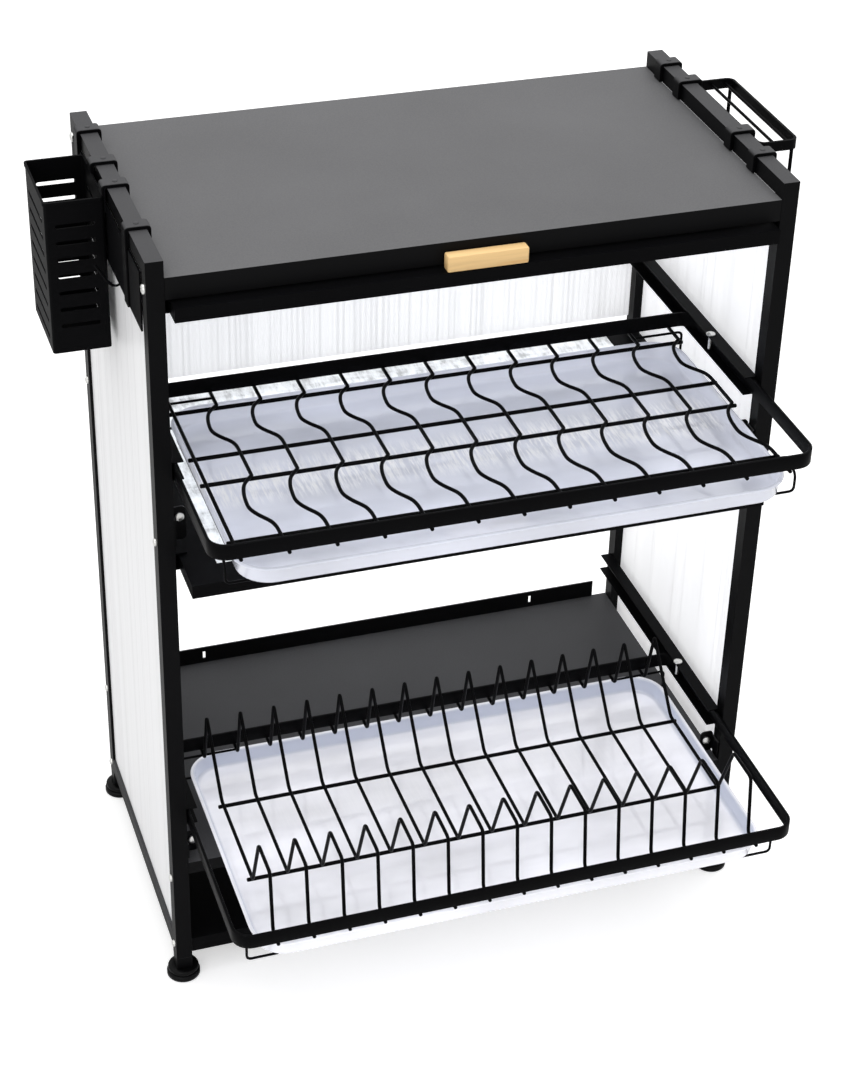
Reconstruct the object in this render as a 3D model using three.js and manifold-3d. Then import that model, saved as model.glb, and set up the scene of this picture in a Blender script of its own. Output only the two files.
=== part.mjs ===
// A dish drying rack in a cabinet: a tube frame with ribbed side walls holds two wire racks that
// slide in channels, a drip tray hung under each, two stored flap doors, and hang-on holders.
// Millimetres, +X to the right, +Y to the back, +Z up. Heights are counted from the floor, and
// places along the depth from the front faces of the posts.
import * as THREE from 'three';
import { mergeGeometries, mergeVertices } from 'three/addons/utils/BufferGeometryUtils.js';
import Module from 'manifold-3d';

const wasm = await Module();
wasm.setup();

// Cabinet
const cabinetWidth = 600;
const cabinetDepth = 320;
const cabinetHeight = 810;
const tubeSize = 16;
const fitGap = 0.3;
const sheetThickness = 1.5;
const postBottomHeight = 24;
const lowerRailHeight = 33;

// Feet
const footBaseRadius = 20;
const footBaseHeight = 10;
const footCollarRadius = 15;
const footStemRadius = 4;
const footStemLength = 18;
const footEdge = 1.5;

// Sheet-metal top, lower shelf and bottom pan
const topPanelDrop = 16;
const topApronHeight = 21;
const topRearFlange = 15;
const topSideFlange = 11;
const shelfHeight = 150;
const shelfFlange = 14;
const shelfLipHeight = 20;
const shelfLipEndGap = 17;
const shelfSlotSpacing = 380;
const shelfSlotWidth = 3;
const shelfSlotHeight = 9;
const panLipHeight = 17;
const panReturn = 9;

// Ribbed twin-wall sheets
const wallThickness = 4;
const wallSkin = 0.9;
const wallRib = 0.9;
const wallRibPitch = 10;
const wallRecess = 3;
const backWallRackDrop = 88.5;
const backWallInset = 4;

// Rack channels and their stop screws
const channelSheet = 1.2;
const channelFlange = 12.5;
const channelFront = 10;
const channelRearGap = 9;
const runningGap = 0.8;
const stopScrewPlace = 97;
const stopScrewInset = 3.2;
const stopScrewHeadRadius = 4.6;
const stopScrewHeadHeight = 2.2;
const stopScrewRadius = 2;
const stopScrewLength = 15;
const stopScrewHoleGap = 0.4;

// Racks; the upper one hangs below the top, the lower one stands above the shelf
const rackSideGap = 1;
const rackBarHeight = 15;
const rackBarThickness = 3;
const rackCornerRadius = 18;
const rackWireRadius = 2.1;
const crossWireRadius = 2.3;
const crossWireEnd = 4;
const barWeld = 0.6;
const crossWeld = 0.9;
const wireSides = 6;

const upperRackDrop = 205.5;
const upperRackFront = -129.5;
const upperRackDepth = 282;
const upperWirePitch = 42.5;
const upperWireCount = 13;
const upperCrossInsets = [33, 128.5, 173.5, 257];
const upperBowDepth = 15.5;

const lowerRackRise = 58.5;
const lowerRackFront = -180.5;
const lowerRackDepth = 300;
const lowerWirePitch = 34.4;
const lowerWireCount = 15;
const plateHumpRise = 63.5;
const plateWireBend = 5;
const plateFootGap = 4.5;
const lowerCrossFrontInset = 98;
const lowerCrossRearInset = 210;
const frontHumpFoot = 20;
const frontHumpNose = 28;
const frontHumpPeak = 68;
const rearHumpFoot = 285;
const rearHumpPeak = 270;

// Tray hooks and drip trays
const hookWireRadius = 1.4;
const hookLegInset = 18.5;
const hookRearInset = 7;
const hookArmLength = 38;
const hookArmSkew = 30;
const hookWireBend = 5;
const hookBarGrip = 3;
const trayLegGap = 4.6;
const trayHeight = 22;
const trayWall = 1.6;
const traySlope = 6;
const trayRimWidth = 4;
const trayRimThickness = 2;
const trayRimGap = 1.5;
const trayHookGap = 0.4;
const trayCornerRadius = 38;
const upperTrayFront = -127.5;
const upperTrayDepth = 270;
const lowerTrayFront = -172;
const lowerTrayDepth = 286;

// Flap doors, stored lying under the top and under the upper rack
const doorSideGap = 3.5;
const doorThickness = 13.5;
const doorSheet = 1.2;
const doorReturn = 9;
const doorBorder = 30;
const doorWindowOverlap = 8;
const doorWindowThickness = 2.5;
const doorPinRadius = 3;
const doorPinReach = 2.6;
const doorPinInset = 12;
const upperDoorDrop = 53;
const upperDoorFront = -13;
const upperDoorLength = 228;
const lowerDoorRackDrop = 110.5;
const lowerDoorFront = -42;
const lowerDoorLength = 346;
const handleLength = 75;
const handleHeight = 25;
const handleDepth = 12;
const handleEdge = 1.2;

// Magnet catches that the hanging doors close against
const catchWidth = 14;
const catchPlace = 17;
const catchLegFront = 2;
const catchCornerRadius = 4;
const catchMagnetRadius = 4.6;
const catchMagnetHeight = 1.6;
const catchMagnetDrop = 10;
const upperCatchRackDrop = 84.5;
const upperCatchHeight = 35;
const lowerCatchHeight = 25;
const catchShelfGap = 1;

// Straps that hang a holder over a top rail
const strapWidth = 13;
const strapThickness = 1.6;
const strapPanelGap = 0.8;

// Hanging bands strapped over both top rails, the left one with a wire hook
const bandDrop = 73;
const bandEndGap = 1;
const leftBandStraps = [61.5, 269];
const rightBandStraps = [58, 278];
const wireHookRadius = 1.25;
const wireHookPlace = 110;
const wireHookRise = 15;
const wireHookFlat = 9;
const wireHookReach = 22;
const wireHookTipRise = 23;
const wireHookBend = 6;

// Utensil basket
const basketWidth = 54;
const basketLength = 92;
const basketHeight = 150;
const basketWall = 1.2;
const basketCornerRadius = 3;
const basketRimWidth = 1;
const basketRimHeight = 3;
const basketFront = 148;
const basketTopDrop = 7;
const basketStraps = [148.5, 198];
const basketStrapDrop = 16;
const basketFrontSlots = 7;
const basketSideSlots = 8;
const basketSlotHeight = 4;
const basketSlotPitch = 16.5;
const basketSlotTopGap = 24;
const basketFrontSlotLength = 36;
const basketSideSlotLength = 66;
const basketFloorHoleRadius = 4;
const basketFloorHoleRows = 4;
const basketFloorHoleShares = [0.3, 0.7];

// Cutting-board holder
const boardReach = 45;
const boardFront = 95;
const boardLength = 153;
const boardTopDrop = 5;
const boardBarHeight = 10;
const boardBarThickness = 2.5;
const boardCornerRadius = 8;
const boardStraps = [109, 232];
const boardWireShares = [0.5, 0.82];
const boardWireRadius = 1.6;
const boardLegRadius = 2;
const boardLegEndInset = 6;
const boardLegDrop = 180;
const boardLegBend = 12;
const boardLegWallGap = 6;

// Derived frame places
const halfWidth = cabinetWidth / 2;
const postInnerFace = halfWidth - tubeSize;
const railBottomHeight = cabinetHeight - tubeSize;
const topPanelHeight = cabinetHeight - topPanelDrop;
const innerHalfWidth = postInnerFace - fitGap;
const rearPostFront = cabinetDepth - tubeSize;

// Derived places of the channels, racks, trays and doors
const channelWeb = innerHalfWidth;
const channelRear = cabinetDepth - channelRearGap;
const stopScrewX = channelWeb - channelFlange + stopScrewInset;
const rackHalfWidth = channelWeb - channelSheet - rackSideGap;
const hookLegX = rackHalfWidth - hookLegInset;
const trayHalfLength = hookLegX - hookWireRadius - trayLegGap;
const doorHalfWidth = channelWeb - channelSheet - doorSideGap;
const upperRackBarTop = cabinetHeight - upperRackDrop;
const lowerRackBarTop = shelfHeight + lowerRackRise;
const upperDoorBottom = cabinetHeight - upperDoorDrop;
const lowerDoorBottom = upperRackBarTop - lowerDoorRackDrop;
const backWallBottom = upperRackBarTop - backWallRackDrop;
const upperCatchBottom = upperRackBarTop - upperCatchRackDrop;
const bandBottomHeight = cabinetHeight - bandDrop;
const overrun = 5;
const weldDistance = 0.0001;
const arcSteps = 4;

// Materials
const paint = (color, roughness, metalness) => new THREE.MeshStandardMaterial({ color, roughness, metalness });
const blackSteel = paint(0x141416, 0.45, 0.4);
const panelSteel = paint(0x3a3a3d, 0.5, 0.3);
const whiteSheet = paint(0xf1f1f2, 0.5, 0);
const trayPlastic = paint(0xdfe3ee, 0.35, 0);
const clearSheet = paint(0xe9eef2, 0.1, 0);
const zinc = paint(0xc9c9c6, 0.3, 0.9);
const pine = paint(0xeac894, 0.6, 0);
const rubber = paint(0x0e0e0f, 0.8, 0);

// Turning a closed surface into a solid and back
function toSolid(geometry) {
  const bare = geometry.clone();
  bare.deleteAttribute('normal');
  bare.deleteAttribute('uv');
  const joined = mergeVertices(bare, weldDistance);
  const vertProperties = joined.attributes.position.array;
  const triVerts = Uint32Array.from(joined.index.array);
  return new wasm.Manifold(new wasm.Mesh({ numProp: 3, vertProperties, triVerts }));
}

function toGeometry(body) {
  const data = body.getMesh();
  const geometry = new THREE.BufferGeometry();
  geometry.setAttribute('position', new THREE.BufferAttribute(data.vertProperties, 3));
  geometry.setIndex(new THREE.BufferAttribute(data.triVerts, 1));
  geometry.computeVertexNormals();
  return geometry;
}

const unite = (bodies) => bodies.reduce((whole, body) => whole.add(body));
const cut = (body, tools) => tools.reduce((left, tool) => left.subtract(tool), body);

// Simple solids, given by their lowest and highest places
function block(x0, x1, y0, y1, z0, z1) {
  const geometry = new THREE.BoxGeometry(x1 - x0, y1 - y0, z1 - z0);
  return toSolid(geometry.translate((x0 + x1) / 2, (y0 + y1) / 2, (z0 + z1) / 2));
}

function extrude(shape, depth) {
  return new THREE.ExtrudeGeometry(shape, { depth, bevelEnabled: false, curveSegments: arcSteps });
}

function outline(points) {
  return new THREE.Shape(points.map(([u, v]) => new THREE.Vector2(u, v)));
}

// A section drawn in X and Z, run along Y
function alongY(shape, y0, y1) {
  return toSolid(extrude(shape, y1 - y0).rotateX(Math.PI / 2).translate(0, y1, 0));
}

// A section drawn in Y and Z, run along X
function alongX(shape, x0, x1) {
  const turn = new THREE.Matrix4().makeBasis(
    new THREE.Vector3(0, 1, 0), new THREE.Vector3(0, 0, 1), new THREE.Vector3(1, 0, 0));
  return toSolid(extrude(shape, x1 - x0).applyMatrix4(turn).translate(x0, 0, 0));
}

// A section drawn in X and Y, run up along Z
function alongZ(shape, z0, z1) {
  return toSolid(extrude(shape, z1 - z0).translate(0, 0, z0));
}

function roundedRectangle(path, x0, x1, y0, y1, radius) {
  const quarter = Math.PI / 2;
  path.moveTo(x1, y0 + radius);
  path.lineTo(x1, y1 - radius);
  path.absarc(x1 - radius, y1 - radius, radius, 0, quarter, false);
  path.lineTo(x0 + radius, y1);
  path.absarc(x0 + radius, y1 - radius, radius, quarter, 2 * quarter, false);
  path.lineTo(x0, y0 + radius);
  path.absarc(x0 + radius, y0 + radius, radius, 2 * quarter, 3 * quarter, false);
  path.lineTo(x1 - radius, y0);
  path.absarc(x1 - radius, y0 + radius, radius, 3 * quarter, 4 * quarter, false);
  return path;
}

// A slot with round ends, u along its length
function slotShape(u0, u1, v, height) {
  const radius = height / 2;
  const shape = new THREE.Shape();
  shape.absarc(u1 - radius, v, radius, -Math.PI / 2, Math.PI / 2, false);
  shape.absarc(u0 + radius, v, radius, Math.PI / 2, 3 * Math.PI / 2, false);
  return shape;
}

// A turned piece: its profile is radius and height, from the axis back to the axis
function turned(profile, sides) {
  const points = profile.map(([radius, height]) => new THREE.Vector2(radius, height));
  return new THREE.LatheGeometry(points, sides).rotateX(Math.PI / 2);
}

// Wires: the path keeps every given point, so each bend stays where it is drawn
class BentPath extends THREE.Curve {
  constructor(points) {
    super();
    this.points = points;
  }

  getPoint(share, target = new THREE.Vector3()) {
    const place = share * (this.points.length - 1);
    const index = Math.min(Math.floor(place), this.points.length - 2);
    return target.lerpVectors(this.points[index], this.points[index + 1], place - index);
  }

  getPointAt(share, target) {
    return this.getPoint(share, target);
  }

  getTangentAt(share, target = new THREE.Vector3()) {
    const last = this.points.length - 1;
    const index = Math.round(share * last);
    const before = this.points[Math.max(index - 1, 0)];
    const here = this.points[index];
    const after = this.points[Math.min(index + 1, last)];
    const arriving = here.clone().sub(before).normalize();
    const leaving = after.clone().sub(here).normalize();
    return target.copy(arriving).add(leaving).normalize();
  }
}

function wire(places, radius, sides = wireSides) {
  const points = places.map((place) => new THREE.Vector3(...place));
  const section = new THREE.Shape();
  for (let side = 0; side < sides; side += 1) {
    const angle = 2 * Math.PI * (side + 0.5) / sides;
    const u = radius * Math.cos(angle);
    const v = radius * Math.sin(angle);
    if (side === 0) section.moveTo(u, v);
    else section.lineTo(u, v);
  }
  const path = new BentPath(points);
  const steps = points.length - 1;
  return toSolid(new THREE.ExtrudeGeometry(section, { steps, bevelEnabled: false, extrudePath: path }));
}

// Corners of a bent wire replaced by short curves of three points
function softened(corners, bend) {
  const places = [corners[0]];
  for (let index = 1; index < corners.length - 1; index += 1) {
    const here = new THREE.Vector3(...corners[index]);
    const before = new THREE.Vector3(...corners[index - 1]);
    const after = new THREE.Vector3(...corners[index + 1]);
    const start = here.clone().lerp(before, Math.min(bend / here.distanceTo(before), 1 / 2));
    const end = here.clone().lerp(after, Math.min(bend / here.distanceTo(after), 1 / 2));
    const curve = new THREE.QuadraticBezierCurve3(start, here, end);
    places.push(...curve.getPoints(3).map((point) => point.toArray()));
  }
  places.push(corners[corners.length - 1]);
  return places;
}

// A skin of matching rings, closed by a flat cap at each end
function ringStack(rings) {
  const count = rings[0].length;
  const positions = rings.flat().flat();
  const faces = [];
  for (let ring = 0; ring < rings.length - 1; ring += 1) {
    for (let point = 0; point < count; point += 1) {
      const next = (point + 1) % count;
      const low = ring * count;
      const high = low + count;
      faces.push(low + point, low + next, high + next, low + point, high + next, high + point);
    }
  }
  const last = (rings.length - 1) * count;
  for (let point = 1; point < count - 1; point += 1) {
    faces.push(0, point + 1, point);
    faces.push(last, last + point, last + point + 1);
  }
  const geometry = new THREE.BufferGeometry();
  geometry.setAttribute('position', new THREE.Float32BufferAttribute(positions, 3));
  geometry.setIndex(faces);
  return toSolid(geometry);
}

function roundedRing(halfX, y0, y1, radius, z) {
  const path = roundedRectangle(new THREE.Path(), -halfX, halfX, y0, y1, radius);
  const points = path.getPoints(arcSteps);
  const ring = [];
  for (const point of points) {
    const last = ring[ring.length - 1];
    const repeats = last && Math.hypot(last[0] - point.x, last[1] - point.y) < weldDistance;
    const closes = ring.length > 0 && Math.hypot(ring[0][0] - point.x, ring[0][1] - point.y) < weldDistance;
    if (!repeats && !closes) ring.push([point.x, point.y, z]);
  }
  return ring;
}

const mirrored = (body) => body.mirror([1, 0, 0]);

const rack = new THREE.Group();

function addMesh(name, geometry, material) {
  const mesh = new THREE.Mesh(geometry, material);
  mesh.name = name;
  rack.add(mesh);
  return mesh;
}

const addSolid = (name, body, material) => addMesh(name, toGeometry(body), material);

// Side frames: two posts joined by a top rail and a lower rail
function sideFrame() {
  const outer = -halfWidth;
  const inner = -postInnerFace;
  const frontPost = block(outer, inner, 0, tubeSize, postBottomHeight, cabinetHeight);
  const rearPost = block(outer, inner, rearPostFront, cabinetDepth, postBottomHeight, cabinetHeight);
  const topRail = block(outer, inner, 0, cabinetDepth, railBottomHeight, cabinetHeight);
  const lowerRail = block(outer, inner, 0, cabinetDepth, lowerRailHeight, lowerRailHeight + tubeSize);
  const sockets = [tubeSize / 2, cabinetDepth - tubeSize / 2].map((place) => {
    const radius = footStemRadius + fitGap;
    const depth = footStemLength + fitGap + overrun;
    const socket = new THREE.CylinderGeometry(radius, radius, depth, 12).rotateX(Math.PI / 2);
    const middle = postBottomHeight - overrun + depth / 2;
    return toSolid(socket.translate(outer + tubeSize / 2, place, middle));
  });
  return cut(unite([frontPost, rearPost, topRail, lowerRail]), sockets);
}

function foot() {
  const top = postBottomHeight - fitGap;
  return turned([
    [0, 0], [footBaseRadius - footEdge, 0], [footBaseRadius, footEdge],
    [footBaseRadius, footBaseHeight - footEdge], [footBaseRadius - footEdge, footBaseHeight],
    [footCollarRadius, footBaseHeight], [footCollarRadius, top - footEdge],
    [footCollarRadius - footEdge, top], [footStemRadius, top],
    [footStemRadius, top + footStemLength], [0, top + footStemLength],
  ], 20);
}

// Folded sheet top: apron at the front, short flanges at the back and sides
function topPanel() {
  const high = topPanelHeight;
  const low = high - sheetThickness;
  const fold = sheetThickness;
  const section = outline([
    [0, high - topApronHeight], [fold, high - topApronHeight], [fold, low],
    [cabinetDepth - fold, low], [cabinetDepth - fold, high - topRearFlange],
    [cabinetDepth, high - topRearFlange], [cabinetDepth, high], [0, high],
  ]);
  const sheet = alongX(section, -innerHalfWidth, innerHalfWidth);
  const flange = block(-innerHalfWidth, fold - innerHalfWidth, 0, cabinetDepth, high - topSideFlange, high);
  return unite([sheet, flange, mirrored(flange)]);
}

// Lower shelf: flanges down at the front and sides, a lip with two slots up at the back
function lowerShelf() {
  const high = shelfHeight;
  const low = high - sheetThickness;
  const fold = sheetThickness;
  const front = fitGap;
  const rear = cabinetDepth - fold;
  const section = outline([
    [front, high - shelfFlange], [front + fold, high - shelfFlange], [front + fold, low],
    [rear + fold, low], [rear + fold, high], [front, high],
  ]);
  const sheet = alongX(section, -innerHalfWidth, innerHalfWidth);
  const lipEnd = innerHalfWidth - shelfLipEndGap;
  const lip = block(-lipEnd, lipEnd, rear, rear + fold, low, high + shelfLipHeight);
  const flange = block(-innerHalfWidth, fold - innerHalfWidth, front, rear + fold, high - shelfFlange, high);
  const slotMiddle = high + shelfLipHeight / 2;
  const slot = block(
    (shelfSlotSpacing - shelfSlotWidth) / 2, (shelfSlotSpacing + shelfSlotWidth) / 2,
    rear - overrun, cabinetDepth + overrun,
    slotMiddle - shelfSlotHeight / 2, slotMiddle + shelfSlotHeight / 2);
  return cut(unite([sheet, lip, flange, mirrored(flange)]), [slot, mirrored(slot)]);
}

// Bottom pan: a sheet whose front and back edges fold up and over
function bottomPan() {
  const low = lowerRailHeight;
  const high = low + panLipHeight;
  const fold = sheetThickness;
  const rear = cabinetDepth;
  return alongX(outline([
    [0, low], [rear, low], [rear, high], [rear - panReturn, high], [rear - panReturn, high - fold],
    [rear - fold, high - fold], [rear - fold, low + fold], [fold, low + fold], [fold, high - fold],
    [panReturn, high - fold], [panReturn, high], [0, high],
  ]), -innerHalfWidth, innerHalfWidth);
}

// Twin-wall sheet: two skins joined by ribs, its flutes open at top and bottom
function twinWall(length, height) {
  const sheet = block(0, length, 0, wallThickness, 0, height);
  const cells = Math.floor((length - wallRib) / wallRibPitch);
  const pitch = (length - wallRib) / cells;
  const flutes = [];
  for (let cell = 0; cell < cells; cell += 1) {
    const start = wallRib + cell * pitch;
    const end = start + pitch - wallRib;
    flutes.push(block(start, end, wallSkin, wallThickness - wallSkin, -overrun, height + overrun));
  }
  return cut(sheet, flutes);
}

function sideWall() {
  const length = rearPostFront - tubeSize - 2 * fitGap;
  const bottom = lowerRailHeight + tubeSize + fitGap;
  const height = railBottomHeight - fitGap - bottom;
  const quarterTurn = 90;
  const place = wallThickness + wallRecess - halfWidth;
  const sheet = twinWall(length, height).rotate([0, 0, quarterTurn]);
  return sheet.translate([place, tubeSize + fitGap, bottom]);
}

function backWall() {
  const top = topPanelHeight - sheetThickness - fitGap;
  const rear = cabinetDepth - backWallInset;
  const half = innerHalfWidth - sheetThickness - fitGap;
  const sheet = twinWall(2 * half, top - backWallBottom);
  return sheet.translate([-half, rear - wallThickness, backWallBottom]);
}

// Channels, open towards the middle, that a rack bar or a door edge runs in
function channel(slidingBottom, slidingTop) {
  const low = slidingBottom - runningGap - channelSheet;
  const high = slidingTop + runningGap + channelSheet;
  const web = -channelWeb;
  const edge = web + channelFlange;
  const section = outline([
    [web, low], [edge, low], [edge, low + channelSheet], [web + channelSheet, low + channelSheet],
    [web + channelSheet, high - channelSheet], [edge, high - channelSheet], [edge, high], [web, high],
  ]);
  return alongY(section, channelFront, channelRear);
}

// The channel of a rack is drilled for its stop screw
function rackChannel(barTop) {
  const body = channel(barTop - rackBarHeight, barTop);
  const radius = stopScrewRadius + stopScrewHoleGap;
  const drill = new THREE.CylinderGeometry(radius, radius, 2 * overrun, 12).rotateX(Math.PI / 2);
  return cut(body, [toSolid(drill.translate(-stopScrewX, stopScrewPlace, barTop + runningGap + channelSheet))]);
}

function stopScrew() {
  const seat = fitGap;
  const top = seat + stopScrewHeadHeight;
  const shoulder = seat + stopScrewHeadHeight / 2;
  return turned([
    [0, -stopScrewLength], [stopScrewRadius, -stopScrewLength], [stopScrewRadius, seat],
    [stopScrewHeadRadius, seat], [stopScrewHeadRadius, shoulder], [stopScrewRadius, top], [0, top],
  ], 12);
}

// Catch: a plate facing the front, folded from a leg on the post, with a round magnet
function doorCatch(low, height) {
  const face = innerHalfWidth;
  const shape = roundedRectangle(new THREE.Shape(), -face, catchWidth - face, low, low + height, catchCornerRadius);
  const plate = alongY(shape, catchPlace, catchPlace + sheetThickness);
  const legEnd = catchCornerRadius + low;
  const legTop = low + height - catchCornerRadius;
  const leg = block(-face, sheetThickness - face, catchLegFront, catchPlace + sheetThickness, legEnd, legTop);
  const reach = catchMagnetHeight + sheetThickness / 2;
  const magnet = new THREE.CylinderGeometry(catchMagnetRadius, catchMagnetRadius, reach, 14);
  const place = (catchWidth + sheetThickness) / 2 - face;
  magnet.translate(place, catchPlace - catchMagnetHeight + reach / 2, low + height - catchMagnetDrop);
  return unite([plate, leg, toSolid(magnet)]);
}

// Rack wires welded under the bars, and cross wires welded under the wires
const wireHeight = (barTop) => barTop - rackBarHeight - rackWireRadius + barWeld;
const crossHeight = (barTop) => wireHeight(barTop) - rackWireRadius - crossWireRadius + crossWeld;
const hookHeight = (barTop) => wireHeight(barTop) - rackWireRadius - hookWireRadius + crossWeld;
const trayTopHeight = (barTop) => crossHeight(barTop) - crossWireRadius - trayRimGap;
const hookArmHeight = (barTop) => trayTopHeight(barTop) - trayHeight - trayHookGap - hookWireRadius;

function barLoop(barTop, front, depth) {
  const thick = rackBarThickness;
  const half = rackHalfWidth;
  const rear = front + depth;
  const loop = roundedRectangle(new THREE.Shape(), -half, half, front, rear, rackCornerRadius);
  const inside = roundedRectangle(
    new THREE.Path(), thick - half, half - thick, front + thick, rear - thick, rackCornerRadius - thick);
  loop.holes.push(inside);
  return alongZ(loop, barTop - rackBarHeight, barTop);
}

function crossWires(barTop, front, insets, outerWire) {
  const end = outerWire + crossWireEnd;
  const height = crossHeight(barTop);
  return insets.map((inset) => wire([[-end, front + inset, height], [end, front + inset, height]], crossWireRadius));
}

// Four hooks hold a tray: the rear ones start under a wire, the front ones under the bar
function trayHooks(barTop, front, depth, startX) {
  const leg = hookLegX;
  const high = hookHeight(barTop);
  const low = hookArmHeight(barTop);
  const rearY = front + depth - hookRearInset;
  const frontY = front + rackBarThickness / 2;
  const grip = barTop - rackBarHeight + hookBarGrip;
  const rearHook = wire(softened([
    [startX, rearY, high], [leg, rearY, high], [leg, rearY, low],
    [leg - hookArmLength, rearY - hookArmSkew, low],
  ], hookWireBend), hookWireRadius);
  const frontHook = wire(softened([
    [leg, frontY, grip], [leg, frontY, low], [leg - hookArmLength, frontY + hookArmSkew, low],
  ], hookWireBend), hookWireRadius);
  return [rearHook, frontHook, mirrored(rearHook), mirrored(frontHook)];
}

// Sideways bow of a wire between two cross wires: share of the span, share of the bow
const bowShares = [
  [0.12, 0.59], [0.25, 0.87], [0.4, 1], [0.54, 1], [0.66, 0.72], [0.8, 0.2], [0.9, 0.03],
];

function bowed(start, end, x, height) {
  return bowShares.map(([along, sideways]) => [x - upperBowDepth * sideways, start + (end - start) * along, height]);
}

// Upper rack: wires that bow to one side between the cross wires, all but the first
function upperRack() {
  const front = upperRackFront;
  const rear = front + upperRackDepth;
  const height = wireHeight(upperRackBarTop);
  const [frontCross, secondCross, thirdCross, rearCross] = upperCrossInsets.map((inset) => front + inset);
  const outerWire = upperWirePitch * (upperWireCount - 1) / 2;
  const bodies = [barLoop(upperRackBarTop, front, upperRackDepth)];
  for (let index = 0; index < upperWireCount; index += 1) {
    const x = upperWirePitch * index - outerWire;
    const straight = [[x, rear - fitGap, height], [x, front + fitGap, height]];
    const bent = [
      straight[0], [x, rearCross, height], ...bowed(rearCross, thirdCross, x, height),
      [x, thirdCross, height], [x, secondCross, height], ...bowed(secondCross, frontCross, x, height),
      [x, frontCross, height], straight[1],
    ];
    bodies.push(wire(index === 0 ? straight : bent, rackWireRadius));
  }
  bodies.push(...crossWires(upperRackBarTop, front, upperCrossInsets, outerWire));
  bodies.push(...trayHooks(upperRackBarTop, front, upperRackDepth, outerWire - upperWirePitch));
  return unite(bodies);
}

// Lower rack: every wire rises into two humps that hold plates upright between them
function lowerRack() {
  const front = lowerRackFront;
  const rear = front + lowerRackDepth;
  const low = wireHeight(lowerRackBarTop);
  const high = low + plateHumpRise;
  const outerWire = lowerWirePitch * (lowerWireCount - 1) / 2;
  const bodies = [barLoop(lowerRackBarTop, front, lowerRackDepth)];
  for (let index = 0; index < lowerWireCount; index += 1) {
    const x = lowerWirePitch * index - outerWire;
    const corners = [
      [x, front + fitGap, low], [x, front + frontHumpFoot, low], [x, front + frontHumpNose, high],
      [x, front + frontHumpPeak, high], [x, front + lowerCrossFrontInset - plateFootGap, low],
      [x, front + lowerCrossRearInset + plateFootGap, low], [x, front + rearHumpPeak, high],
      [x, front + rearHumpFoot, low], [x, rear - fitGap, low],
    ];
    bodies.push(wire(softened(corners, plateWireBend), rackWireRadius));
  }
  const insets = [lowerCrossFrontInset, lowerCrossRearInset];
  bodies.push(...crossWires(lowerRackBarTop, front, insets, outerWire));
  bodies.push(...trayHooks(lowerRackBarTop, front, lowerRackDepth, outerWire - lowerWirePitch));
  return unite(bodies);
}

// Drip tray: sloped walls, large corner radii and a rim that points outwards
function dripTray(barTop, front, depth) {
  const rear = front + depth;
  const top = trayTopHeight(barTop);
  const bottom = top - trayHeight;
  const ring = (inset, z) => roundedRing(
    trayHalfLength - inset, front + inset, rear - inset, trayCornerRadius - inset, z);
  const base = trayRimWidth + traySlope;
  const rimLow = top - trayRimThickness;
  const outside = ringStack([ring(base, bottom), ring(trayRimWidth, rimLow), ring(0, rimLow), ring(0, top)]);
  const inside = ringStack([ring(base + trayWall, bottom + trayWall), ring(trayRimWidth + trayWall, top + fitGap)]);
  return outside.subtract(inside);
}

// Door frame: a folded sheet frame round the window, with a pivot pin at each side
function doorFrame(bottom, front, length) {
  const half = doorHalfWidth;
  const rear = front + length;
  const top = bottom + doorThickness;
  const fold = doorSheet;
  const border = doorBorder;
  const whole = block(-half, half, front, rear, bottom, top);
  const hollow = block(fold - half, half - fold, front + fold, rear - fold, bottom + fold, top - fold);
  const inner = doorReturn;
  const mouth = block(inner - half, half - inner, front + inner, rear - inner, bottom - overrun, bottom + 2 * fold);
  const window = block(border - half, half - border, front + border, rear - border, bottom, top + overrun);
  const pin = new THREE.CylinderGeometry(doorPinRadius, doorPinRadius, doorPinReach + fold, 12);
  pin.rotateZ(Math.PI / 2).translate(half + (doorPinReach - fold) / 2, rear - doorPinInset, (bottom + top) / 2);
  const pivot = toSolid(pin);
  return unite([cut(whole, [hollow, mouth, window]), pivot, mirrored(pivot)]);
}

function doorWindow(bottom, front, length) {
  const edge = doorBorder - doorWindowOverlap;
  const half = doorHalfWidth - edge;
  const top = bottom + doorThickness - doorSheet - fitGap;
  return block(-half, half, front + edge, front + length - edge, top - doorWindowThickness, top);
}

// Door handle: a wooden block with its edges eased
function doorHandle(bottom, front) {
  const edge = handleEdge;
  const low = bottom + doorThickness + fitGap;
  const high = low + handleHeight;
  const rear = front + handleDepth;
  const half = handleLength / 2;
  const section = outline([
    [front, low], [rear, low], [rear, high - edge], [rear - edge, high], [front + edge, high],
    [front, high - edge],
  ]);
  const plan = outline([
    [-half, front + edge], [edge - half, front], [half - edge, front], [half, front + edge],
    [half, rear - edge], [half - edge, rear], [edge - half, rear], [-half, rear - edge],
  ]);
  return alongX(section, -half, half).intersect(alongZ(plan, low, high));
}

// A strap over the left top rail: outer leg down to the given height, short inner leg
function strap(place, outerGap, outerBottom) {
  const outer = halfWidth + outerGap;
  const inner = innerHalfWidth;
  const thick = strapThickness;
  const low = cabinetHeight + fitGap;
  const innerBottom = topPanelHeight + strapPanelGap;
  return alongY(outline([
    [-outer - thick, outerBottom], [-outer, outerBottom], [-outer, low], [-inner, low],
    [-inner, innerBottom], [thick - inner, innerBottom], [thick - inner, low + thick],
    [-outer - thick, low + thick],
  ]), place, place + strapWidth);
}

// Hanging band: a plate outside the wall, between the posts, held by two straps
function hangingBand(straps) {
  const outer = halfWidth + fitGap;
  const top = railBottomHeight - fitGap;
  const front = tubeSize + bandEndGap;
  const rear = rearPostFront - bandEndGap;
  const plate = block(-outer - strapThickness, -outer, front, rear, bandBottomHeight, top);
  return unite([plate, ...straps.map((place) => strap(place, fitGap, bandBottomHeight))]);
}

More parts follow.
